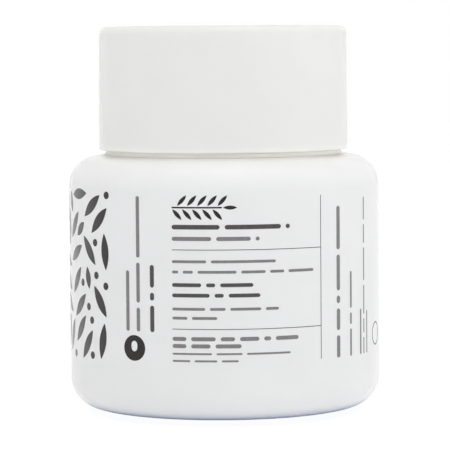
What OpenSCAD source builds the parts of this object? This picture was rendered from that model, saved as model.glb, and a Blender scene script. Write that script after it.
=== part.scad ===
// A small round jar of nail polish remover: a white jar with a wide threaded neck, a foam sponge
// with a finger hole inside it, and a smooth screw cap made of an outer shell, a threaded inner
// cap and a sealing liner.
// The origin is the centre of the foot, and +Z points up through the cap.

/* [Jar] */
// Outside diameter of the jar's straight wall
jar_d = 50; // [46:0.5:56]
// Height at which the shoulder's slope meets the neck, under the collar
shoulder_h = 41.95; // [38:0.05:50]
// Thickness of the jar's wall
jar_wall = 1.6; // [1.2:0.1:2.2]
// Radius of the round heel between the wall and the underside
heel_r = 4.65; // [3.6:0.05:5.6]
// Slope of the underside, from the foot up to the heel, in degrees
heel_slope = 7.6; // [5:0.2:10]
// Outside diameter of the flat foot ring
foot_d = 29; // [26:0.5:31]
// Width of the flat foot ring
foot_w = 2.2; // [1.4:0.1:3]
// Depth of the hollow inside the foot ring
push_up = 0.8; // [0.4:0.1:1]
// Radius of the round shoulder edge
shoulder_r = 4.7; // [3.4:0.1:5.6]
// Slope of the shoulder, from the neck down to the round edge, in degrees
shoulder_slope = 8; // [5:0.5:11]

/* [Neck] */
// Outside diameter of the neck between its threads
neck_d = 30.4; // [28:0.1:36]
// Thickness of the neck's wall
neck_wall = 1.6; // [1.3:0.1:2]
// Height of the lip above the shoulder
neck_h = 10.5; // [10.1:0.1:13]
// Radius of the lip's rounded edges
lip_r = 0.4; // [0.2:0.05:0.6]
// Height of the top of the collar round the neck above the shell's edge, which it stands inside
collar_rise = 0.3; // [0.2:0.05:0.4]
// Gap between the collar and the shell's wall around it
collar_gap = 0.35; // [0.25:0.05:0.5]

/* [Thread] */
// Rise of the thread in one turn
thread_pitch = 4.2; // [3.9:0.1:4.4]
// Turns of thread on the neck, and in the inner cap
thread_turns = 1.25; // [1:0.05:1.3]
// Height of the thread ridge from its wall
thread_depth = 1.05; // [0.8:0.05:1.1]
// Width of the ridge at its wall
thread_foot_w = 2.2; // [1.8:0.1:2.3]
// Width of the ridge at its crest
thread_crest_w = 1.1; // [0.8:0.1:1.2]
// Gap between a crest and the wall that it faces
crest_gap = 0.25; // [0.15:0.05:0.3]
// Gap between the flanks that pull the cap down
flank_gap = 0.2; // [0.1:0.05:0.3]
// Plain neck between the lip and the start of its thread
neck_lead = 1.6; // [1.4:0.1:1.8]
// Plain skirt between the height of the shell's edge and the start of the inner cap's thread
skirt_lead = 1.2; // [1.1:0.05:1.4]

/* [Cap shell] */
// Height of the cap
cap_h = 19.75; // [18:0.05:26]
// Lean of the cap's side wall, in degrees
cap_draft = 0.4; // [0:0.1:0.8]
// Thickness of the cap's side wall
cap_wall = 1.2; // [0.9:0.05:1.6]
// Thickness of the cap's top
cap_top_t = 1.4; // [1.1:0.1:2]
// Radius of the round edge at the cap's top
cap_edge_r = 1.2; // [0.8:0.1:1.4]
// Radius of the edges at the cap's open end
cap_rim_r = 0.25; // [0.15:0.05:0.4]
// Open gap between the cap's edge and the shoulder
cap_gap = 0.88; // [0.7:0.01:1.2]
// Height of the snap bead inside the cap's open end
bead_h = 0.65; // [0.5:0.05:0.7]
// How far the snap bead stands in from the wall
bead_depth = 0.4; // [0.3:0.05:0.5]

/* [Inner cap] */
// Thickness of the inner cap's skirt
skirt_wall = 1.1; // [0.8:0.05:1.5]
// Thickness of the inner cap's top panel
panel_t = 1.3; // [1:0.1:1.6]
// Gap between the inner cap's open end and the collar's top
flange_gap = 0.12; // [0.08:0.01:0.2]
// Thickness of the flange at the inner cap's open end
flange_t = 0.6; // [0.4:0.05:0.8]
// Room for the ribs between the skirt and the shell's wall
rib_room = 1.25; // [1.1:0.05:2.2]
// Number of ribs on the inner cap, and of ribs in the shell between them
rib_count = 36; // [24:1:40]
// Gap at each side of a rib, to the next one
rib_side_gap = 0.2; // [0.15:0.05:0.3]
// Gap between a rib and the wall that it faces, and above and below the snap bead
rib_gap = 0.1; // [0.05:0.05:0.15]
// Radius of the ring under the shell's top that bears on the panel
standoff_r = 11; // [9:0.5:13]
// Thickness of that ring
standoff_w = 1.1; // [0.9:0.1:1.5]

/* [Liner] */
// Thickness of the sealing liner
liner_t = 1.2; // [1:0.1:1.5]
// Gap around the liner inside the inner cap
liner_gap = 0.15; // [0.1:0.05:0.2]
// How far the keeper bead under the liner stands in from the skirt
keeper_depth = 0.6; // [0.45:0.05:0.75]
// Height of the keeper bead
keeper_h = 0.6; // [0.4:0.1:0.7]
// Gap between the keeper bead and the liner
keeper_gap = 0.4; // [0.3:0.05:0.5]

/* [Sponge] */
// Gap between the sponge and the jar's wall, shoulder and neck
sponge_gap = 0.3; // [0.25:0.05:0.5]
// Depth of the sponge's top below the lip
sponge_drop = 4.6; // [3:0.1:6]
// Radius of the sponge's top edge
sponge_edge_r = 1.2; // [0.8:0.1:1.6]
// Diameter of the finger hole
finger_d = 14; // [12:0.5:15]
// Foam left under the finger hole
finger_floor = 4; // [3:0.5:8]
// Number of slits that let the hole open for a finger
slit_count = 6; // [4:1:8]
// Width of a slit
slit_w = 0.6; // [0.5:0.1:1]
// Reach of a slit beyond the finger hole
slit_reach = 3.6; // [2:0.1:4.2]

/* [Hidden] */
$fn = 96;

// Steps that an arc in a section is drawn with
arc_steps = 20;
// Steps of one turn of thread
turn_steps = 36;
// Share of a turn over which a thread grows to its full height
ramp_share = 0.09;
// Share of its height that a thread has at its ends, inside its wall
start_share = 0.1;
// How far a ridge, rib or bead is rooted in its wall
root = 0.5;
// How far a cut runs past what it cuts
overrun = 1;

jar_r = jar_d / 2;
neck_r = neck_d / 2;
bore_r = neck_r - neck_wall;
foot_r = foot_d / 2;
foot_in_r = foot_r - foot_w;
lip_z = shoulder_h + neck_h;

// The heel's arc touches the wall and the sloping underside
heel_x = jar_r - heel_r;
heel_z = heel_r * cos(heel_slope) + (heel_x + heel_r * sin(heel_slope) - foot_r) * tan(heel_slope);
heel_in_r = heel_r - jar_wall;
floor_z = heel_z - heel_in_r;

// The shoulder's arc touches the wall and the sloping shoulder
shoulder_x = jar_r - shoulder_r;
shoulder_z = shoulder_h - shoulder_r * cos(shoulder_slope)
    - (shoulder_x + shoulder_r * sin(shoulder_slope) - neck_r) * tan(shoulder_slope);
shoulder_in_r = shoulder_r - jar_wall;

// The cap's pieces, nested round the neck
skirt_in_r = neck_r + thread_depth + crest_gap;
skirt_out_r = skirt_in_r + skirt_wall;
shell_in_r = skirt_out_r + rib_room;
cap_r = shell_in_r + cap_wall;

// The collar and the cap's pieces, stacked from the shoulder and from the lip
cap_z = shoulder_h - (cap_r - neck_r) * tan(shoulder_slope) + cap_gap;
ceiling_z = cap_z + cap_h - cap_top_t;
collar_r = shell_in_r - collar_gap;
collar_top_z = cap_z + collar_rise;
flange_z = collar_top_z + flange_gap;
flange_top_z = flange_z + flange_t;
bead_z = flange_top_z + rib_gap;
panel_z = lip_z + liner_t;
panel_top_z = panel_z + panel_t;
keeper_z = lip_z - keeper_gap - keeper_h;

// The ribs of the inner cap, and those of the shell between them
shell_top_in_r = shell_in_r - (ceiling_z - cap_z) * tan(cap_draft);
rib_z = bead_z + bead_h + rib_gap;
rib_out_r = shell_top_in_r - rib_gap;
rib_w = PI * skirt_out_r / rib_count - rib_side_gap;

// The neck's thread, and the inner cap's thread that pulls up against it from below
neck_thread_z = lip_z - neck_lead - thread_foot_w / 2 - thread_turns * thread_pitch;
cap_thread_z = cap_z + skirt_lead + thread_foot_w / 2;
thread_drop = (thread_foot_w + thread_crest_w) / 2 + flank_gap;
cap_thread_angle = 360 * (cap_thread_z + thread_drop - neck_thread_z) / thread_pitch;

// The sponge fills the jar and narrows into the neck
sponge_neck_r = bore_r - sponge_gap;
sponge_top_z = lip_z - sponge_drop;
finger_r = finger_d / 2;
finger_z = floor_z + finger_floor;

// Height of the shoulder at a radius, measured a depth inside its surface
function under_shoulder(r, depth) =
    shoulder_h - (r - neck_r) * tan(shoulder_slope) - depth / cos(shoulder_slope);

// Points of an arc in a section
function arc(x, z, r, from, to) = [
    for (i = [0:arc_steps])
        let (a = from + (to - from) * i / arc_steps)
        [x + r * cos(a), z + r * sin(a)]
];

// Outline of the jar's wall, from the underside round the outside and back down the inside
jar_section = concat(
    [[0, push_up], [foot_in_r - push_up, push_up], [foot_in_r, 0], [foot_r, 0]],
    arc(heel_x, heel_z, heel_r, heel_slope - 90, 0),
    arc(shoulder_x, shoulder_z, shoulder_r, 0, 90 - shoulder_slope),
    [[collar_r, under_shoulder(collar_r, 0)], [collar_r, collar_top_z], [neck_r, collar_top_z]],
    arc(neck_r - lip_r, lip_z - lip_r, lip_r, 0, 90),
    arc(bore_r + lip_r, lip_z - lip_r, lip_r, 90, 180),
    [[bore_r, under_shoulder(bore_r, jar_wall)]],
    arc(shoulder_x, shoulder_z, shoulder_in_r, 90 - shoulder_slope, 0),
    arc(heel_x, heel_z, heel_in_r, 0, -90),
    [[0, floor_z]]);

// Outline of the sponge without its finger hole
sponge_section = concat(
    [[0, floor_z]],
    arc(heel_x - sponge_gap, heel_z, heel_in_r, -90, 0),
    arc(shoulder_x, shoulder_z, shoulder_in_r - sponge_gap, 0, 90 - shoulder_slope),
    [[sponge_neck_r, under_shoulder(sponge_neck_r, jar_wall + sponge_gap)]],
    arc(sponge_neck_r - sponge_edge_r, sponge_top_z - sponge_edge_r, sponge_edge_r, 0, 90),
    [[0, sponge_top_z]]);

// Outline of the inner cap. It ends in a flange over the collar, below the snap bead.
inner_section = [
    [skirt_in_r, flange_z],
    [rib_out_r, flange_z],
    [rib_out_r, flange_top_z],
    [skirt_out_r, flange_top_z],
    [skirt_out_r, panel_top_z],
    [0, panel_top_z],
    [0, panel_z],
    [skirt_in_r, panel_z]
];

// Outline of the cap shell, in heights above its open end
cap_edge_x = cap_r - (cap_h - cap_edge_r) * tan(cap_draft) - cap_edge_r / cos(cap_draft);
shell_section = concat(
    arc(cap_r - cap_rim_r, cap_rim_r, cap_rim_r, -90, 0),
    arc(cap_edge_x, cap_h - cap_edge_r, cap_edge_r, cap_draft, 90),
    [[0, cap_h], [0, cap_h - cap_top_t], [shell_top_in_r, cap_h - cap_top_t]],
    arc(shell_in_r + cap_rim_r, cap_rim_r, cap_rim_r, 180, 270));

// A ring of rectangular section from radius a to radius b
module ring(a, b, z, h) {
    translate([0, 0, z])
        difference() {
            cylinder(r = b, h = h);
            translate([0, 0, -overrun])
                cylinder(r = a, h = h + 2 * overrun);
        }
}

// A wedge-shaped bead that stands in from a wall of radius r
module inside_bead(r, z, h, depth) {
    translate([0, 0, z])
        rotate_extrude()
            polygon([[r + root, 0], [r, 0], [r - depth, h / 2], [r, h], [r + root, h]]);
}

// One ridge of right-handed thread, from the angle and height of its lower end.
// It stands out from its wall if side is 1, and in from it if side is -1.
module thread(wall_r, side, angle, z) {
    steps = ceil(thread_turns * turn_steps);
    ramp_steps = ramp_share * turn_steps;
    root_x = wall_r - side * root;
    crest_x = wall_r + side * thread_depth;
    crest = thread_crest_w / 2;
    flank = (thread_foot_w / 2 - crest) / thread_depth;
    foot = thread_foot_w / 2 + flank * root;
    points = [
        for (i = [0:steps])
            let (
                a = angle + 360 * thread_turns * i / steps,
                h = z + thread_pitch * thread_turns * i / steps,
                grown = min(1, i / ramp_steps, (steps - i) / ramp_steps),
                x = root_x + (crest_x - root_x) * (start_share + (1 - start_share) * grown)
            )
            each [
                [root_x * cos(a), root_x * sin(a), h - foot],
                [x * cos(a), x * sin(a), h - crest],
                [x * cos(a), x * sin(a), h + crest],
                [root_x * cos(a), root_x * sin(a), h + foot]
            ]
    ];
    corner_count = 4;
    last = corner_count * steps;
    ends = [[0, 3, 2], [0, 2, 1], [last, last + 1, last + 2], [last, last + 2, last + 3]];
    sides = [
        for (i = [0:steps - 1], j = [0:corner_count - 1])
            let (a = corner_count * i + j, b = corner_count * i + (j + 1) % corner_count)
            each [[a, b, b + corner_count], [a, b + corner_count, a + corner_count]]
    ];
    faces = [for (f = concat(ends, sides)) side > 0 ? f : [f[2], f[1], f[0]]];
    polyhedron(points = points, faces = faces);
}

// The white jar, with its collar, neck and outside thread
module jar() {
    color("whitesmoke") {
        rotate_extrude()
            polygon(jar_section);
        thread(neck_r, 1, 0, neck_thread_z);
    }
}

// The foam sponge, with a finger hole and the slits that let it open
module sponge() {
    depth = sponge_top_z - finger_z + overrun;
    color("mistyrose")
        difference() {
            rotate_extrude()
                polygon(sponge_section);
            translate([0, 0, finger_z]) {
                cylinder(r = finger_r, h = depth);
                for (i = [0:slit_count - 1])
                    rotate(360 * i / slit_count)
                        translate([0, -slit_w / 2, 0])
                            cube([finger_r + slit_reach, slit_w, depth]);
            }
        }
}

// The soft disc that seals the lip
module cap_liner() {
    color("white")
        translate([0, 0, lip_z])
            cylinder(r = skirt_in_r - liner_gap, h = liner_t);
}

// The threaded cap inside the shell, ribbed outside so that the two turn together
module inner_cap() {
    color("gainsboro") {
        rotate_extrude()
            polygon(inner_section);
        inside_bead(skirt_in_r, keeper_z, keeper_h, keeper_depth);
        thread(skirt_in_r, -1, cap_thread_angle, cap_thread_z);
        for (i = [0:rib_count - 1])
            rotate(360 * i / rib_count)
                translate([skirt_out_r - root, -rib_w / 2, rib_z])
                    cube([rib_out_r - skirt_out_r + root, rib_w, panel_top_z - rib_z]);
    }
}

// The smooth outer shell, with the ribs, bead and ring that hold the inner cap
module cap_shell() {
    rib_in_r = skirt_out_r + rib_gap;
    color("white") {
        translate([0, 0, cap_z])
            rotate_extrude()
                polygon(shell_section);
        inside_bead(shell_in_r, bead_z, bead_h, bead_depth);
        ring(standoff_r, standoff_r + standoff_w, panel_top_z, ceiling_z - panel_top_z + root);
        for (i = [0:rib_count - 1])
            rotate(360 * (i + 1 / 2) / rib_count)
                translate([rib_in_r, -rib_w / 2, rib_z])
                    cube([shell_in_r + root - rib_in_r, rib_w, panel_top_z - rib_z]);
    }
}

jar();
sponge();
cap_liner();
inner_cap();
cap_shell();
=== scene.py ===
"""The looks of a small white jar of nail polish remover: satin plastic, a one-colour print and foam."""
import math
import random

import bmesh
import bpy
from mathutils import Matrix, Vector, noise


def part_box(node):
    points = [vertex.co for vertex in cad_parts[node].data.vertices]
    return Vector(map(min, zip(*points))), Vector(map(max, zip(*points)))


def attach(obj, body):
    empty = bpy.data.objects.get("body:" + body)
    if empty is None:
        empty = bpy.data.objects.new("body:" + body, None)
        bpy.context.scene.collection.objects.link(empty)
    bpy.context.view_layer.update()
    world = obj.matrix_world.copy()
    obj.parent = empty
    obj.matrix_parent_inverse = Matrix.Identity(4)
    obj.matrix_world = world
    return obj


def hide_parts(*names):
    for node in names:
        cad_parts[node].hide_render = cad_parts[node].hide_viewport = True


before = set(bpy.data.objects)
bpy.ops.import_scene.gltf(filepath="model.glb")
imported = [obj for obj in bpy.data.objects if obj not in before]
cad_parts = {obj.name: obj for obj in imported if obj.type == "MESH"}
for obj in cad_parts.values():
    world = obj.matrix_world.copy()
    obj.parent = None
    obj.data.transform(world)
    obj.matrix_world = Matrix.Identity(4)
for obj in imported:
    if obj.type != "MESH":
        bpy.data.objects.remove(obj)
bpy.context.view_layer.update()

# Lengths in this script are in millimetres, and MM turns them into the frame's metres
MM = 0.001

# The photograph's camera, in front of the object
CAMERA_X = 0.14
CAMERA_DISTANCE = 445
CAMERA_HEIGHT = 59.4
CAMERA_PITCH = math.radians(3.808)
CAMERA_ROLL = math.radians(0.44)
CAMERA_LENS = 220.5
CAMERA_CLIP = (10, 10000)
SENSOR = 36

# The floor. Its glow is most of what the camera and gloss see of it.
FLOOR_SIZE = 3000
FLOOR_DROP = 0.02
FLOOR_FAR = (0.93, 0.94, 0.96)
# Painted shade: under the jar the floor's colour is dark blue, so that its bounce shades the jar's foot
FLOOR_PAINTED_SHADE = (0, 0.3, 0.9)
FLOOR_PAINTED_SHADE_REACH = (21.1, 23.8)
FLOOR_GLOW = 1.12
FLOOR_GLOW_SHARE = 0.86
FLOOR_GLOSS_REACH = (20, 25)

# The light from all round, which also gives the lamps their colour
LIGHT_COLOUR = (0.95, 0.963, 1)
SKY_LEVEL = 0.28
HORIZON_LEVEL = 4.27
HORIZON_REACH = 0.2

# Each lamp's place, size and power
TOP_LAMP = ((0, -200, 900), 700, 4.8)
RIGHT_LAMP = ((850, -30, 60), 500, 1.14)


def node_size(name):
    """Radius, lowest and highest point of a CAD node that is round about Z."""
    low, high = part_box(name)
    return high.x / MM, low.z / MM, high.z / MM


JAR_R, _, LIP_Z = node_size("jar")
CAP_LOW = node_size("cap_shell")[1]
SPONGE_R, SPONGE_LOW, SPONGE_TOP = node_size("sponge")

# The jar's wall, as in the CAD but a hair further in, so that the ink on it stays inside the CAD's radius
INK_T = 0.02
INK_INSET = 0.01
INK_R = JAR_R - INK_INSET
WALL_R = INK_R - INK_T
WALL_T = 1.6
FOOT_R = 14.5
FOOT_IN_R = 12.3
PUSH_UP = 0.8
HEEL_R = 4.65
HEEL_SLOPE = math.radians(7.6)
SHOULDER_R = 4.7
SHOULDER_SLOPE = math.radians(8)
SHOULDER_H = 41.95
COLLAR_R = 18.5
COLLAR_RISE = 0.3
COLLAR_TOP = CAP_LOW + COLLAR_RISE
NECK_R = 15.2
BORE_R = 13.6
LIP_EDGE_R = 0.4
FLOOR_Z = SPONGE_LOW

# The jar's small shapes: rounded edges, the collar's wider foot and the gate's mark on the underside
FOOT_EDGE_R = 0.35
COLLAR_FOOT_R = 19.25
COLLAR_ROOT_R = 1
COLLAR_EDGE_R = 0.12
NECK_ROOT_R = 0.6
GATE_R = 1.1
GATE_H = 0.22
GATE_EDGE_R = 0.12

# The thread on the neck, as in the CAD, with rounded crest corners
THREAD_PITCH = 4.2
THREAD_TURNS = 1.25
THREAD_DEPTH = 1.05
THREAD_FOOT_W = 2.2
THREAD_CREST_W = 1.1
THREAD_CREST_R = 0.25
THREAD_ROOT = 0.5
THREAD_LEAD = 1.6
THREAD_RAMP_SHARE = 0.09
THREAD_START_SHARE = 0.1

# The sponge, as in the CAD, with soft edges
SPONGE_GAP = 0.3
SPONGE_NECK_R = BORE_R - SPONGE_GAP
SPONGE_EDGE_R = 1.2
SPONGE_WAIST_R = 1.5
FINGER_R = 7
FINGER_BASE_T = 4
FINGER_Z = FLOOR_Z + FINGER_BASE_T
FINGER_EDGE_R = 0.9
SLIT_COUNT = 6
SLIT_W = 0.6
SLIT_REACH = 3.6

# The foam's dents: depth, size of the coarse ones, how much finer the fine ones are, and how they add up
FOAM_LUMP = 0.22
FOAM_GRAIN = 1.7
FOAM_FINER = 2.7
FOAM_MEAN = 0.5
FOAM_COARSE_SHARE = 0.6
FOAM_FINE_SHARE = 0.4

# Steps of the sponge's mesh along its outside, in from its top edge, and round the edge of its hole
SPONGE_STEP = 0.9
SPONGE_TOP_SHARES = (0.25, 0.5, 0.75)
FINGER_EDGE_ANGLES = [math.radians(a) for a in (0, 30, 60, 90)]

# Steps down the hole, along an arc of it and along a slit, and the angle from which the foam is sharp
FINGER_STEP = 1.2
FINGER_ARC_STEPS = 12
SLIT_STEPS = 8
FOAM_SHARP_ANGLE = math.radians(70)

# Steps round a turned piece and round the thread, and the angle between points of a rounded corner
TURN_STEPS = 192
THREAD_STEPS = 96
CORNER_STEP = math.radians(4.5)

# The angle from which an edge is sharp, and the radius under which a ring is one point
SHARP_ANGLE = math.radians(32)
POLE_R = 1e-6


def new_object(name, bm, sharp_angle=SHARP_ANGLE):
    """A smooth-shaded object made from a mesh in millimetres."""
    bmesh.ops.recalc_face_normals(bm, faces=bm.faces)
    bmesh.ops.scale(bm, vec=(MM, MM, MM), verts=bm.verts)
    mesh = bpy.data.meshes.new(name)
    bm.to_mesh(mesh)
    bm.free()
    mesh.shade_smooth()
    mesh.set_sharp_from_angle(angle=sharp_angle)
    obj = bpy.data.objects.new(name, mesh)
    bpy.context.scene.collection.objects.link(obj)
    return obj


def rounded(corners):
    """The points of an outline whose corners, given as x, y and radius, are rounded off."""
    points = [Vector(corners[0][:2])]
    for before, corner, after in zip(corners, corners[1:], corners[2:]):
        middle = Vector(corner[:2])
        back = (Vector(before[:2]) - middle).normalized()
        ahead = (Vector(after[:2]) - middle).normalized()
        half = back.angle(ahead) / 2
        radius = corner[2]
        centre = middle + (back + ahead).normalized() * radius / math.sin(half)
        start = middle + back * radius / math.tan(half) - centre
        swing = start.angle_signed(middle + ahead * radius / math.tan(half) - centre)
        steps = max(1, math.ceil(abs(swing) / CORNER_STEP))
        for i in range(steps + 1):
            turn = Matrix.Rotation(-swing * i / steps, 2)
            points.append(centre + turn @ start)
    points.append(Vector(corners[-1][:2]))
    return points


def bridge(bm, a, b):
    """Faces between two rings of points, either of which may be a single pole."""
    count = max(len(a), len(b))
    for i in range(count):
        j = (i + 1) % count
        if len(a) == 1:
            bm.faces.new((a[0], b[j], b[i]))
        elif len(b) == 1:
            bm.faces.new((a[i], a[j], b[0]))
        else:
            bm.faces.new((a[i], a[j], b[j], b[i]))


def turned_ring(bm, r, z, steps):
    """The points of a circle round Z, or the one point of it that lies on the axis."""
    if r < POLE_R:
        return [bm.verts.new((0, 0, z))]
    angles = [math.tau * i / steps for i in range(steps)]
    return [bm.verts.new((r * math.cos(a), r * math.sin(a), z)) for a in angles]


def lathe(bm, outline, steps):
    """Turns an outline that starts and ends on the axis round Z."""
    rings = [turned_ring(bm, r, z, steps) for r, z in outline]
    for a, b in zip(rings, rings[1:]):
        bridge(bm, a, b)


def jar_outline():
    """The jar's wall, from the underside round the outside and back down the inside."""
    heel_z = (WALL_R - FOOT_R) * math.tan(HEEL_SLOPE)
    slope = math.tan(SHOULDER_SLOPE)
    edge_z = SHOULDER_H - (WALL_R - NECK_R) * slope
    wall_in_r = JAR_R - WALL_T
    under_z = SHOULDER_H - WALL_T / math.cos(SHOULDER_SLOPE)
    return rounded([
        (0, PUSH_UP - GATE_H, 0),
        (GATE_R, PUSH_UP - GATE_H, GATE_EDGE_R),
        (GATE_R + GATE_H, PUSH_UP, GATE_EDGE_R),
        (FOOT_IN_R - PUSH_UP, PUSH_UP, FOOT_EDGE_R),
        (FOOT_IN_R, 0, FOOT_EDGE_R),
        (FOOT_R, 0, FOOT_EDGE_R),
        (WALL_R, heel_z, HEEL_R),
        (WALL_R, edge_z, SHOULDER_R),
        (COLLAR_FOOT_R, SHOULDER_H - (COLLAR_FOOT_R - NECK_R) * slope, COLLAR_ROOT_R),
        (COLLAR_R, COLLAR_TOP, COLLAR_EDGE_R),
        (NECK_R, COLLAR_TOP, NECK_ROOT_R),
        (NECK_R, LIP_Z, LIP_EDGE_R),
        (BORE_R, LIP_Z, LIP_EDGE_R),
        (BORE_R, under_z - (BORE_R - NECK_R) * slope, NECK_ROOT_R),
        (wall_in_r, under_z - (wall_in_r - NECK_R) * slope, SHOULDER_R - WALL_T),
        (wall_in_r, FLOOR_Z, HEEL_R - WALL_T),
        (0, FLOOR_Z, 0),
    ])


def thread_mesh(bm):
    """A right-handed ridge round the neck that grows out of the wall and sinks back into it."""
    flank = (THREAD_FOOT_W - THREAD_CREST_W) / 2 / THREAD_DEPTH
    foot = THREAD_FOOT_W / 2 + flank * THREAD_ROOT
    root_r = NECK_R - THREAD_ROOT
    full = THREAD_DEPTH + THREAD_ROOT
    start_z = LIP_Z - THREAD_LEAD - THREAD_FOOT_W / 2 - THREAD_TURNS * THREAD_PITCH
    crest = THREAD_CREST_W / 2
    corners = [(-foot, 0), (-crest, full, THREAD_CREST_R), (crest, full, THREAD_CREST_R), (foot, 0)]
    profile = rounded(corners)
    steps = math.ceil(THREAD_TURNS * THREAD_STEPS)
    ramp_steps = THREAD_RAMP_SHARE * THREAD_STEPS
    rings = []
    for i in range(steps + 1):
        grown = min(1, i / ramp_steps, (steps - i) / ramp_steps)
        grown = THREAD_START_SHARE + (1 - THREAD_START_SHARE) * math.sin(grown * math.pi / 2)
        a = math.tau * THREAD_TURNS * i / steps
        z = start_z + THREAD_PITCH * THREAD_TURNS * i / steps
        ring = []
        for across, height in profile:
            r = root_r + height * grown
            ring.append(bm.verts.new((r * math.cos(a), r * math.sin(a), z + across)))
        rings.append(ring)
    for a, b in zip(rings, rings[1:]):
        bridge(bm, a, b)
    bm.faces.new(rings[0])
    bm.faces.new(reversed(rings[-1]))


def unite(obj, tool):
    """Joins two closed objects into one solid and deletes the second."""
    modifier = obj.modifiers.new("unite", "BOOLEAN")
    modifier.operation = "UNION"
    modifier.solver = "EXACT"
    modifier.object = tool
    made = obj.evaluated_get(bpy.context.evaluated_depsgraph_get())
    mesh = bpy.data.meshes.new_from_object(made)
    obj.modifiers.clear()
    obj.data = mesh
    mesh.shade_smooth()
    mesh.set_sharp_from_angle(angle=SHARP_ANGLE)
    bpy.data.objects.remove(tool)


def make_jar():
    """The jar with its rounded neck thread."""
    bm = bmesh.new()
    lathe(bm, jar_outline(), TURN_STEPS)
    jar = new_object("jar_moulding", bm)
    bm = bmesh.new()
    thread_mesh(bm)
    unite(jar, new_object("neck_thread", bm))
    body = plastic("body_plastic", *BODY_PLASTIC, PAINTED_LIGHT_JAR)
    set_materials(jar, body)
    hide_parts("jar")
    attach(jar, "jar")


# The print's places are in millimetres along the wall from the middle of the front, positive to the
# right, and in heights. Most of it is rows of bars with round ends, in a few thicknesses.
BOLD = 0.7
HEAVY = 0.58
LARGE = 0.74
MEDIUM = 0.62
THIN = 0.43
FINE = 0.3
RULE = 0.1
BAR_GAP = 0.62
BAR_GAP_SHARE = 0.25

# Where a mark's outline has points: along a bar, round its ends, along a leaf and round a disc
BAR_STEP = 0.7
BAR_END_ANGLES = [math.radians(a) for a in (25, 50, 70, 82)]
PETAL_ANGLES = [math.radians(a) for a in range(-78, 79, 12)]
MARK_STEPS = 48

# Rows of the front block: height, thickness and the lengths of the bars
BLOCK_U = -8.2
BLOCK_LINES = [
    (31.1, BOLD, (7.5, 8.8, 0.6)),
    (29.3, MEDIUM, (6.2, 5.3, 0.4)),
    (25.8, THIN, (5.4, 10.1)),
    (24.2, THIN, (1, 1.6, 6, 3.8, 2.3, 4.4)),
    (22.2, HEAVY, (4.6, 1.4, 5.1)),
    (20.6, HEAVY, (5.9, 1.4, 4.9)),
    (18.5, THIN, (5.2, 2.4, 4.8, 2.1)),
    (17.1, THIN, (2.4, 3.9)),
    (13.9, MEDIUM, (2.2, 3.8, 2.2, 3, 1.1, 3.8)),
    (12.8, MEDIUM, (2.2, 3, 4)),
    (11.6, FINE, (6.2, 4, 7)),
    (10.5, FINE, (2.8, 3.5, 2.6)),
]

# Upright rows: place along the wall, thickness and the lengths of the bars
UPRIGHT_Z = 10.1
SIDE_UPRIGHT_Z = 14.8
SIDE_LINES = [
    (-16.1, MEDIUM, (9.4,)),
    (-14.1, MEDIUM, (3.7, 6.2, 9.5)),
    (-11.6, BOLD, (4.1, 1.2, 3.5)),
]
UPRIGHT_LINES = [
    (19.7, LARGE, (3.5, 3.4, 1.2, 5.6, 6.8)),
    (22.8, THIN, (4.3, 1.8, 5.8)),
    (25.7, THIN, (7.2,)),
    (26.8, FINE, (2.6, 2.3, 4.6, 5.2, 3, 3.6)),
    (27.9, FINE, (6.8,)),
]

# The sprig over the front block, with a leaf at its tip. A leaf has its half length and half width.
SPRIG = (BLOCK_U, 34.1)
STEM_LENGTH = 7.9
STEM_W = 0.24
LEAF_PAIRS = 5
LEAF_START_SHARE = 0.08
LEAF_TURN = math.radians(48)
LEAF_CLEAR = 0.14
LEAF = (1.1, 0.31)

# Rules that frame the front block
RULE_RIGHT_U = 16
RULE_HEIGHTS = (27.6, 15.4)
RULE_LOW = 10.2
RULE_HIGH = 35.7

# Two small plain marks: a disc with a drop left bare in it, and a ring
DISC = (-14.9, 12.2)
DISC_R = 2
DROP_R = 0.52
DROP_TIP_SHARE = 1.15
DROP_SHARPNESS = 5
RING = (32.3, 12.8)
RING_R = 1.9
RING_W = 0.22

# The scattered pattern on the left: its panel, and the motifs as half length, half width and tries
PANEL_U = (-51, -19.7)
PANEL_Z = (9.4, 36.6)
PANEL_SEED = 11
PANEL_GAP = 0.62
PETALS = (2.9, 0.86, 1500)
SHORT_PETALS = (1.8, 0.76, 1500)
DOTS = (0.6, 0.6, 1500)
CLEARANCE_SAMPLES = 7


def on_wall(bm, place, r):
    """A point at a place along the wall and a radius."""
    a = place.x / JAR_R
    return bm.verts.new((r * math.sin(a), -r * math.cos(a), place.y))


def ribbon(bm, borders, closed=False):
    """A closed solid of ink between two borders on the wall, given as pairs of places."""
    rings = []
    for left, right in borders:
        middle = (left + right) / 2
        outside = [on_wall(bm, place, INK_R) for place in (left, middle, right)]
        rings.append(outside + [on_wall(bm, place, WALL_R - INK_T) for place in (right, middle, left)])
    for a, b in zip(rings, rings[1:] + rings[:1] if closed else rings[1:]):
        bridge(bm, a, b)
    if not closed:
        bm.faces.new(reversed(rings[0]))
        bm.faces.new(rings[-1])


def towards(turn):
    """The direction on the wall at an angle from the right."""
    return Vector((math.cos(turn), math.sin(turn)))


def strip(bm, place, turn, profile):
    """A straight mark: a profile of distances and half widths, laid from its middle at an angle."""
    centre = Vector(place)
    along = towards(turn)
    across = towards(turn + math.pi / 2)
    ribbon(bm, [(centre + along * s - across * w, centre + along * s + across * w) for s, w in profile])


def bar_profile(half_length, half_width):
    """A bar with round ends, or a dot where its half length is its half width."""
    straight = half_length - half_width
    count = math.ceil(2 * straight / BAR_STEP)
    shares = [2 * i / count - 1 for i in range(count + 1)] if count else [0]
    middle = [(straight * s, half_width) for s in shares]
    end = [(straight + half_width * math.sin(a), half_width * math.cos(a)) for a in BAR_END_ANGLES]
    return [(-s, width) for s, width in reversed(end)] + middle + end


def petal_profile(half_length, half_width):
    """A slim leaf with two points."""
    shares = [math.sin(a) for a in PETAL_ANGLES]
    return [(s * half_length, half_width * (1 - s * s)) for s in shares]


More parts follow.
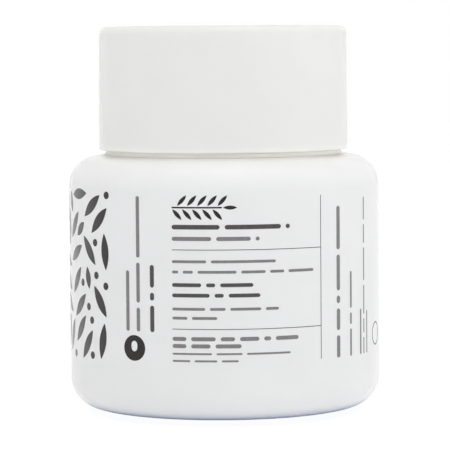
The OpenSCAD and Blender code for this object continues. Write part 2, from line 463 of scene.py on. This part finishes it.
def drop_reach(a):
    """How far a standing drop reaches from its middle at an angle."""
    return DROP_R * (1 + DROP_TIP_SHARE * ((1 + math.sin(a)) / 2) ** DROP_SHARPNESS)


def round_mark(bm, place, outer_r, inner_reach):
    """A disc with a hole whose reach is a function of the angle."""
    centre = Vector(place)
    rays = [math.tau * i / MARK_STEPS for i in range(MARK_STEPS)]
    borders = [(centre + towards(a) * inner_reach(a), centre + towards(a) * outer_r) for a in rays]
    ribbon(bm, borders, closed=True)


def bar_row(bm, start, turn, thickness, lengths):
    """A row of bars, from its start."""
    place = Vector(start)
    for length in lengths:
        half = max(length, thickness) / 2
        strip(bm, place + towards(turn) * half, turn, bar_profile(half, thickness / 2))
        place += towards(turn) * (2 * half + BAR_GAP + BAR_GAP_SHARE * thickness)


def sprig(bm):
    """A lying stem with leaves on both sides and one at its tip, all a little clear of it."""
    start = Vector(SPRIG)
    strip(bm, start + towards(0) * STEM_LENGTH / 2, 0, bar_profile(STEM_LENGTH / 2, STEM_W / 2))
    strip(bm, start + towards(0) * (STEM_LENGTH + LEAF_CLEAR + LEAF[0]), 0, petal_profile(*LEAF))
    pitch = STEM_LENGTH / LEAF_PAIRS
    for i in range(LEAF_PAIRS):
        for side in (-1, 1):
            foot = start + towards(0) * pitch * (i + LEAF_START_SHARE + (side > 0) / 2)
            foot.y += side * (STEM_W / 2 + LEAF_CLEAR)
            strip(bm, foot + towards(side * LEAF_TURN) * LEAF[0], side * LEAF_TURN, petal_profile(*LEAF))


def rule(bm, start, end):
    """A thin straight line between two places."""
    reach = Vector(end) - Vector(start)
    turn = math.atan2(reach.y, reach.x)
    strip(bm, Vector(start) + reach / 2, turn, bar_profile(reach.length / 2, RULE / 2))


def samples(motif):
    """Points along the middle line of a motif."""
    u, z, turn, half_length, half_width = motif
    reach = half_length - half_width
    shares = [2 * i / (CLEARANCE_SAMPLES - 1) - 1 for i in range(CLEARANCE_SAMPLES)]
    return [Vector((u, z)) + towards(turn) * reach * s for s in shares]


def scatter():
    """Motifs at random places and angles in the panel, each clear of the others and of its edges."""
    rng = random.Random(PANEL_SEED)
    placed = []
    for half_length, half_width, tries in (PETALS, SHORT_PETALS, DOTS):
        for _ in range(tries):
            u, z, turn = rng.uniform(*PANEL_U), rng.uniform(*PANEL_Z), rng.uniform(0, math.pi)
            motif = (u, z, turn, half_length, half_width)
            line = samples(motif)
            inside = all(
                PANEL_U[0] + half_width < p.x < PANEL_U[1] - half_width
                and PANEL_Z[0] + half_width < p.y < PANEL_Z[1] - half_width
                for p in line)
            clear = all(
                (p - q).length > half_width + other[4] + PANEL_GAP
                for other, others in placed for p in line for q in others)
            if inside and clear:
                placed.append((motif, line))
    return [motif for motif, _ in placed]


def make_print():
    """The print on the jar's wall, in four pieces. Its fine rows are paler than the bold ones."""
    ink = ink_material("ink", *INK_COLOURS)
    upright = math.pi / 2

    bm = bmesh.new()
    for u, z, turn, half_length, half_width in scatter():
        profile = bar_profile if half_length == half_width else petal_profile
        strip(bm, (u, z), turn, profile(half_length, half_width))
    finish_print("print_pattern", bm, ink)

    rows = [((BLOCK_U, z), 0, thickness, lengths) for z, thickness, lengths in BLOCK_LINES]
    rows += [((u, SIDE_UPRIGHT_Z), upright, thickness, lengths) for u, thickness, lengths in SIDE_LINES]
    rows += [((u, UPRIGHT_Z), upright, thickness, lengths) for u, thickness, lengths in UPRIGHT_LINES]
    bold = [row for row in rows if row[2] in (BOLD, HEAVY)]
    fine = [row for row in rows if row not in bold]
    for name, chosen in (("bold", bold), ("fine", fine)):
        bm = bmesh.new()
        for row in chosen:
            bar_row(bm, *row)
        finish_print(f"print_{name}_lines", bm, ink_material(f"{name}_ink", *ROW_INK_COLOURS[name]))

    bm = bmesh.new()
    sprig(bm)
    for z in RULE_HEIGHTS:
        rule(bm, (BLOCK_U, z), (RULE_RIGHT_U, z))
    rule(bm, (RULE_RIGHT_U, RULE_LOW), (RULE_RIGHT_U, RULE_HIGH))
    round_mark(bm, DISC, DISC_R, drop_reach)
    round_mark(bm, RING, RING_R, lambda a: RING_R - RING_W)
    finish_print("print_rules_and_marks", bm, ink)


def finish_print(name, bm, ink):
    """Gives a piece of the print its ink, and lets it ride on the jar."""
    piece = new_object(name, bm)
    set_materials(piece, ink)
    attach(piece, "jar")


def finger_hole_outline():
    """The hole with its slits, from above, in polar places."""
    slit_half = math.asin(SLIT_W / 2 / FINGER_R)
    sector = math.tau / SLIT_COUNT
    end_r = FINGER_R + SLIT_REACH
    outline = []
    for i in range(SLIT_COUNT):
        start = sector * i
        arc = sector - 2 * slit_half
        steps = range(FINGER_ARC_STEPS + 1)
        outline += [(FINGER_R, start + slit_half + arc * k / FINGER_ARC_STEPS) for k in steps]
        axis = start + sector
        radii = [FINGER_R + SLIT_REACH * k / SLIT_STEPS for k in range(1, SLIT_STEPS)]
        outline += [(r, axis - math.asin(SLIT_W / 2 / r)) for r in radii]
        outline.append((end_r, axis))
        outline += [(r, axis + math.asin(SLIT_W / 2 / r)) for r in reversed(radii)]
    return outline


def sponge_outline():
    """The sponge's outside, from the middle of its underside up to its top edge."""
    slope = math.tan(SHOULDER_SLOPE)
    under_z = SHOULDER_H - (WALL_T + SPONGE_GAP) / math.cos(SHOULDER_SLOPE)
    inset_r = SHOULDER_R - WALL_T - SPONGE_GAP
    corners = rounded([
        (0, SPONGE_LOW, 0),
        (SPONGE_R, SPONGE_LOW, HEEL_R - WALL_T),
        (SPONGE_R, under_z - (SPONGE_R - NECK_R) * slope, inset_r),
        (SPONGE_NECK_R, under_z - (SPONGE_NECK_R - NECK_R) * slope, SPONGE_WAIST_R),
        (SPONGE_NECK_R, SPONGE_TOP, SPONGE_EDGE_R),
        (FINGER_R + SLIT_REACH, SPONGE_TOP, 0),
    ])
    return corners[:-1]


def refined(points, step):
    """An outline with points added, so that none lie further apart than the step."""
    fine = [points[0]]
    for a, b in zip(points, points[1:]):
        count = max(1, math.ceil((b - a).length / step))
        fine += [a.lerp(b, k / count) for k in range(1, count + 1)]
    return fine


def foam_dent(place):
    """How far the foam's skin is dented in at a place."""
    coarse = noise.noise(place / FOAM_GRAIN)
    fine = noise.noise(place / FOAM_GRAIN * FOAM_FINER)
    return FOAM_LUMP * min(1, max(0, FOAM_MEAN + FOAM_COARSE_SHARE * coarse + FOAM_FINE_SHARE * fine))


def make_sponge():
    """The foam: a soft-edged plug with a finger hole, six slits and an uneven open skin."""
    hole = finger_hole_outline()
    count = len(hole)
    bm = bmesh.new()
    rings = [turned_ring(bm, r, z, count) for r, z in refined(sponge_outline(), SPONGE_STEP)]
    edge = [vert.co.copy() for vert in rings[-1]]
    rim = [Vector((r * math.cos(a), r * math.sin(a), SPONGE_TOP)) for r, a in hole]
    for share in SPONGE_TOP_SHARES:
        rings.append([bm.verts.new(a.lerp(b, share)) for a, b in zip(edge, rim)])
    for angle in FINGER_EDGE_ANGLES:
        drop = FINGER_EDGE_R * (1 - math.cos(angle))
        rings.append([bm.verts.new(p - Vector((0, 0, drop))) for p in rim])
    depth = SPONGE_TOP - FINGER_EDGE_R - FINGER_Z
    levels = math.ceil(depth / FINGER_STEP)
    for k in range(1, levels + 1):
        z = SPONGE_TOP - FINGER_EDGE_R - depth * k / levels
        rings.append([bm.verts.new((p.x, p.y, z)) for p in rim])
    for a, b in zip(rings, rings[1:]):
        bridge(bm, a, b)
    bm.faces.new(reversed(rings[-1]))
    bmesh.ops.recalc_face_normals(bm, faces=bm.faces)
    bm.normal_update()
    for vert, normal in [(v, v.normal.copy()) for v in bm.verts]:
        vert.co -= normal * foam_dent(vert.co)
    sponge = new_object("sponge_foam", bm, FOAM_SHARP_ANGLE)
    set_materials(sponge, foam_material())
    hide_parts("sponge")
    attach(sponge, "jar")


# The range that most of a noise texture lies in. Each cloud has the size of its features and a detail.
NOISE_LOW = 0.3
NOISE_HIGH = 0.7

# Moulded plastics: the two tints that clouds run between, and the range of roughness
BODY_PLASTIC = ((0.875, 0.862, 0.83), (0.892, 0.88, 0.848), (0.17, 0.23))
SHELL_PLASTIC = ((0.848, 0.838, 0.788), (0.865, 0.855, 0.806), (0.2, 0.26))
INNER_PLASTIC = ((0.87, 0.855, 0.78), (0.89, 0.875, 0.8), (0.42, 0.5))
TINT_CLOUD = (9, 3)
RUB_CLOUD = (4, 4)
RUB_STRETCH = (1, 1, 0.25)

# The plastics' orange peel, and the slower waves under it
PEEL = 0.004
PEEL_CLOUD = (0.7, 2)
WAVE = 0.008
WAVE_CLOUD = (5, 1)

# Painted light: the paler tints that the plastics are given under the cap's edge, where the recess is
# shaded
PAINTED_LIGHT_TINTS = ((0.95, 0.94, 0.88), (0.96, 0.95, 0.89))
PAINTED_LIGHT_CLOUD = (6, 2)

# Where the painted light ends, as radii and heights. The jar's heights are above it, so its radii count.
PAINTED_LIGHT_JAR = ((20.5, 22), (60, 61))
PAINTED_LIGHT_CAP = ((19.7, 20.2), (42.6, 43.2))

# The ink's tints, on the pattern, rules and marks and on the two kinds of row, and its varnish and grain
INK_COLOURS = ((0.008, 0.003, 0.003), (0.016, 0.008, 0.008))
ROW_INK_COLOURS = {
    "bold": ((0.06, 0.05, 0.049), (0.08, 0.07, 0.068)),
    "fine": ((0.2, 0.185, 0.18), (0.24, 0.225, 0.22)),
}
INK_CLOUD = (0.5, 3)
INK_IOR = 1.3
VARNISH_ROUGHNESS = 0.25
INK_ROUGHNESS = (0.3, 0.42)
INK_ROUGHNESS_CLOUD = (1.2, 2)
INK_GRAIN = 0.004
INK_GRAIN_CLOUD = (0.15, 1)

# The foam's pores, with painted shade in their hearts that fades to the pale ground between them, and its
# fine skin
PORE = 0.9
PORE_PAINTED_SHADE_TINTS = ((0.42, 0.3, 0.32), (0.83, 0.68, 0.69))
PORE_RANGE = (0.05, 0.45)
PORE_DEPTH = 0.35
FOAM_ROUGHNESS = (0.85, 0.97)
FOAM_ROUGHNESS_CLOUD = (3, 2)
FOAM_SKIN = 0.08
FOAM_SKIN_CLOUD = (0.35, 2)

# The liner's tints and pressed skin
LINER_TINTS = ((0.74, 0.74, 0.72), (0.79, 0.79, 0.775))
LINER_CLOUD = (0.6, 3)
LINER_ROUGHNESS = (0.6, 0.75)
LINER_ROUGHNESS_CLOUD = (2, 2)
LINER_SKIN = 0.02
LINER_SKIN_CLOUD = (0.3, 2)


def new_material(name):
    """A node material, its node tree and its Principled shader."""
    material = bpy.data.materials.new(name)
    material.use_nodes = True
    tree = material.node_tree
    return material, tree, tree.nodes["Principled BSDF"]


def set_materials(obj, material):
    """Puts one material on every slot of an object."""
    if not obj.material_slots:
        obj.data.materials.append(material)
    for slot in obj.material_slots:
        slot.material = material


def own_place(tree, stretch=(1, 1, 1)):
    """The object's own coordinates in metres, stretched."""
    place = tree.nodes.new("ShaderNodeTexCoord")
    mapping = tree.nodes.new("ShaderNodeMapping")
    mapping.inputs["Scale"].default_value = stretch
    tree.links.new(place.outputs["Object"], mapping.inputs["Vector"])
    return mapping.outputs["Vector"]


def cloud(tree, size, detail, stretch=(1, 1, 1)):
    """A noise texture with features of a size in millimetres."""
    texture = tree.nodes.new("ShaderNodeTexNoise")
    texture.inputs["Scale"].default_value = 1 / (size * MM)
    texture.inputs["Detail"].default_value = detail
    tree.links.new(own_place(tree, stretch), texture.inputs["Vector"])
    return texture.outputs["Fac"]


def spread(tree, value, low, high, start=NOISE_LOW, end=NOISE_HIGH):
    """A value, mapped from one range to another."""
    mapped = tree.nodes.new("ShaderNodeMapRange")
    mapped.inputs["From Min"].default_value = start
    mapped.inputs["From Max"].default_value = end
    mapped.inputs["To Min"].default_value = low
    mapped.inputs["To Max"].default_value = high
    tree.links.new(value, mapped.inputs["Value"])
    return mapped.outputs["Result"]


def tint(tree, value, low, high, start=NOISE_LOW, end=NOISE_HIGH):
    """A colour that runs between two tints as a value runs through its range."""
    ramp = tree.nodes.new("ShaderNodeValToRGB")
    ramp.color_ramp.elements[0].position = start
    ramp.color_ramp.elements[0].color = (*low, 1)
    ramp.color_ramp.elements[1].position = end
    ramp.color_ramp.elements[1].color = (*high, 1)
    tree.links.new(value, ramp.inputs["Fac"])
    return ramp.outputs["Color"]


def bump(tree, value, height, below=None):
    """A bump normal from a texture, as high as a length in millimetres, over another bump if given."""
    node = tree.nodes.new("ShaderNodeBump")
    node.inputs["Distance"].default_value = height * MM
    tree.links.new(value, node.inputs["Height"])
    if below:
        tree.links.new(below, node.inputs["Normal"])
    return node.outputs["Normal"]


def maths(tree, operation, a, b):
    """The result of an operation on two values."""
    node = tree.nodes.new("ShaderNodeMath")
    node.operation = operation
    tree.links.new(a, node.inputs[0])
    tree.links.new(b, node.inputs[1])
    return node.outputs[0]


def in_metres(values):
    """A range in millimetres, in the metres that shaders see."""
    return [value * MM for value in values]


def outward(tree):
    """The distance from the object's axis, in metres."""
    distance = tree.nodes.new("ShaderNodeVectorMath")
    distance.operation = "LENGTH"
    tree.links.new(own_place(tree, stretch=(1, 1, 0)), distance.inputs[0])
    return distance.outputs["Value"]


def painted_light_share(tree, radii, heights):
    """The share of painted light: 1 near the axis and low down, 0 far out or high up, from two ranges in
    millimetres.
    """
    parts = tree.nodes.new("ShaderNodeSeparateXYZ")
    tree.links.new(own_place(tree), parts.inputs["Vector"])
    near = spread(tree, outward(tree), 1, 0, *in_metres(radii))
    low = spread(tree, parts.outputs["Z"], 1, 0, *in_metres(heights))
    return maths(tree, "MULTIPLY", near, low)


def plastic(name, low, high, roughness, painted_light_reach):
    """Moulded plastic: faint clouds in its colour, an orange peel, and gloss that handling has dulled
    unevenly. Under the cap's edge its colour is painted paler, as painted light in the shaded recess."""
    material, tree, shader = new_material(name)
    links = tree.links
    colour = tree.nodes.new("ShaderNodeMix")
    colour.data_type = "RGBA"
    # Painted light: the colour turns paler under the cap's edge, where the recess is shaded
    links.new(painted_light_share(tree, *painted_light_reach), colour.inputs["Factor"])
    links.new(tint(tree, cloud(tree, *TINT_CLOUD), low, high), colour.inputs["A"])
    links.new(tint(tree, cloud(tree, *PAINTED_LIGHT_CLOUD), *PAINTED_LIGHT_TINTS), colour.inputs["B"])
    links.new(colour.outputs["Result"], shader.inputs["Base Color"])
    rubbed = cloud(tree, *RUB_CLOUD, RUB_STRETCH)
    links.new(spread(tree, rubbed, *roughness), shader.inputs["Roughness"])
    waves = bump(tree, cloud(tree, *WAVE_CLOUD), WAVE)
    links.new(bump(tree, cloud(tree, *PEEL_CLOUD), PEEL, waves), shader.inputs["Normal"])
    return material


def ink_material(name, low, high):
    """Screen-printed ink with a thin varnish: a little thin in places, with the mesh's faint grain."""
    material, tree, shader = new_material(name)
    links = tree.links
    links.new(tint(tree, cloud(tree, *INK_CLOUD), low, high), shader.inputs["Base Color"])
    shader.inputs["IOR"].default_value = INK_IOR
    shader.inputs["Coat Weight"].default_value = 1
    shader.inputs["Coat IOR"].default_value = INK_IOR
    shader.inputs["Coat Roughness"].default_value = VARNISH_ROUGHNESS
    links.new(spread(tree, cloud(tree, *INK_ROUGHNESS_CLOUD), *INK_ROUGHNESS), shader.inputs["Roughness"])
    links.new(bump(tree, cloud(tree, *INK_GRAIN_CLOUD), INK_GRAIN), shader.inputs["Normal"])
    return material


def foam_material():
    """Open-cell foam: round pores with painted shade in their hearts, in a soft pale ground."""
    material, tree, shader = new_material("open_foam")
    links = tree.links
    cells = tree.nodes.new("ShaderNodeTexVoronoi")
    cells.inputs["Scale"].default_value = 1 / (PORE * MM)
    links.new(own_place(tree), cells.inputs["Vector"])
    distance = cells.outputs["Distance"]
    # Painted shade: the pores' hearts are darker
    links.new(tint(tree, distance, *PORE_PAINTED_SHADE_TINTS, *PORE_RANGE), shader.inputs["Base Color"])
    links.new(spread(tree, cloud(tree, *FOAM_ROUGHNESS_CLOUD), *FOAM_ROUGHNESS), shader.inputs["Roughness"])
    pores = bump(tree, distance, PORE_DEPTH)
    links.new(bump(tree, cloud(tree, *FOAM_SKIN_CLOUD), FOAM_SKIN, pores), shader.inputs["Normal"])
    return material


def liner_material():
    """The liner: fine closed-cell foam with a matt pressed skin."""
    material, tree, shader = new_material("pressed_liner")
    links = tree.links
    links.new(tint(tree, cloud(tree, *LINER_CLOUD), *LINER_TINTS), shader.inputs["Base Color"])
    pressed = cloud(tree, *LINER_ROUGHNESS_CLOUD)
    links.new(spread(tree, pressed, *LINER_ROUGHNESS), shader.inputs["Roughness"])
    links.new(bump(tree, cloud(tree, *LINER_SKIN_CLOUD), LINER_SKIN), shader.inputs["Normal"])
    return material


def dress_cap():
    """The cap's pieces keep their CAD shapes, with materials of their own."""
    shell = plastic("shell_plastic", *SHELL_PLASTIC, PAINTED_LIGHT_CAP)
    inner = plastic("natural_plastic", *INNER_PLASTIC, PAINTED_LIGHT_CAP)
    set_materials(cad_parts["cap_shell"], shell)
    set_materials(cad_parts["inner_cap"], inner)
    set_materials(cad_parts["cap_liner"], liner_material())


def add_camera():
    """The camera at the photograph's place, with its slight roll."""
    camera = bpy.data.cameras.new("camera")
    camera.lens = CAMERA_LENS
    camera.sensor_width = SENSOR
    camera.clip_start = CAMERA_CLIP[0] * MM
    camera.clip_end = CAMERA_CLIP[1] * MM
    obj = bpy.data.objects.new("camera", camera)
    place = Matrix.Translation(Vector((CAMERA_X, -CAMERA_DISTANCE, CAMERA_HEIGHT)) * MM)
    tilt = Matrix.Rotation(math.pi / 2 - CAMERA_PITCH, 4, "X")
    roll = Matrix.Rotation(-CAMERA_ROLL, 4, "Z")
    obj.matrix_world = place @ tilt @ roll
    bpy.context.scene.collection.objects.link(obj)
    bpy.context.scene.camera = obj


def seen_by_camera(tree):
    """1 for camera rays, and 0 for the rest."""
    return tree.nodes.new("ShaderNodeLightPath").outputs["Is Camera Ray"]


def seen_in_gloss(tree):
    """1 for glossy and transmission rays, and 0 for the rest."""
    path = tree.nodes.new("ShaderNodeLightPath")
    return maths(tree, "MAXIMUM", path.outputs["Is Glossy Ray"], path.outputs["Is Transmission Ray"])


def add_world():
    """A white world to look at, and a soft light that is strongest near the horizon."""
    world = bpy.data.worlds.new("world")
    bpy.context.scene.world = world
    world.use_nodes = True
    tree = world.node_tree
    tree.nodes.clear()
    light = tree.nodes.new("ShaderNodeBackground")
    light.inputs["Color"].default_value = (*LIGHT_COLOUR, 1)
    direction = tree.nodes.new("ShaderNodeTexCoord")
    parts = tree.nodes.new("ShaderNodeSeparateXYZ")
    tree.links.new(direction.outputs["Generated"], parts.inputs["Vector"])
    glow = spread(tree, parts.outputs["Z"], HORIZON_LEVEL, SKY_LEVEL, 0, HORIZON_REACH)
    tree.links.new(glow, light.inputs["Strength"])
    backdrop = tree.nodes.new("ShaderNodeBackground")
    backdrop.inputs["Color"].default_value = (1, 1, 1, 1)
    backdrop.inputs["Strength"].default_value = 1
    mix = tree.nodes.new("ShaderNodeMixShader")
    out = tree.nodes.new("ShaderNodeOutputWorld")
    tree.links.new(maths(tree, "MAXIMUM", seen_by_camera(tree), seen_in_gloss(tree)), mix.inputs["Fac"])
    tree.links.new(light.outputs[0], mix.inputs[1])
    tree.links.new(backdrop.outputs[0], mix.inputs[2])
    tree.links.new(mix.outputs[0], out.inputs["Surface"])


def add_floor():
    """A pale floor that shows white, and keeps the shadow. To other light it is painted dark blue under the
    jar, as painted shade for the jar's foot.
    """
    bm = bmesh.new()
    half = FLOOR_SIZE / 2
    corners = [(-half, -half), (half, -half), (half, half), (-half, half)]
    bm.faces.new([bm.verts.new((x, y, -FLOOR_DROP)) for x, y in corners])
    floor = new_object("floor", bm)
    material, tree, shader = new_material("floor")
    tree.nodes.remove(shader)
    matt = tree.nodes.new("ShaderNodeBsdfDiffuse")
    # Painted shade: dark blue near the jar, the floor's pale colour further out
    beyond_painted_shade = spread(tree, outward(tree), 0, 1, *in_metres(FLOOR_PAINTED_SHADE_REACH))
    tree.links.new(tint(tree, beyond_painted_shade, FLOOR_PAINTED_SHADE, FLOOR_FAR, 0, 1), matt.inputs["Color"])
    glow = tree.nodes.new("ShaderNodeEmission")
    glow.inputs["Strength"].default_value = FLOOR_GLOW
    to_camera = spread(tree, seen_by_camera(tree), 0, FLOOR_GLOW_SHARE, 0, 1)
    # Gloss sees the glow only away from the jar, so the jar reflects the painted shade under it
    reach = spread(tree, outward(tree), 0, FLOOR_GLOW_SHARE, *in_metres(FLOOR_GLOSS_REACH))
    in_gloss = maths(tree, "MULTIPLY", seen_in_gloss(tree), reach)
    mix = tree.nodes.new("ShaderNodeMixShader")
    tree.links.new(maths(tree, "MAXIMUM", to_camera, in_gloss), mix.inputs["Fac"])
    tree.links.new(matt.outputs[0], mix.inputs[1])
    tree.links.new(glow.outputs[0], mix.inputs[2])
    tree.links.new(mix.outputs[0], tree.nodes["Material Output"].inputs["Surface"])
    set_materials(floor, material)


def add_lamp(name, place, size, power):
    """A soft square lamp that faces the object's middle. Gloss shows the white world in its place."""
    lamp = bpy.data.lights.new(name, "AREA")
    lamp.shape = "SQUARE"
    lamp.size = size * MM
    lamp.energy = power
    lamp.color = LIGHT_COLOUR
    obj = bpy.data.objects.new(name, lamp)
    obj.location = Vector(place) * MM
    facing = Vector((0, 0, LIP_Z / 2)) * MM - obj.location
    obj.rotation_euler = facing.to_track_quat("-Z", "Y").to_euler()
    obj.visible_glossy = False
    bpy.context.scene.collection.objects.link(obj)


bpy.context.scene.view_settings.view_transform = "Standard"
add_camera()
add_world()
add_floor()
add_lamp("top_lamp", *TOP_LAMP)
add_lamp("right_lamp", *RIGHT_LAMP)

make_jar()
make_print()
make_sponge()
dress_cap()
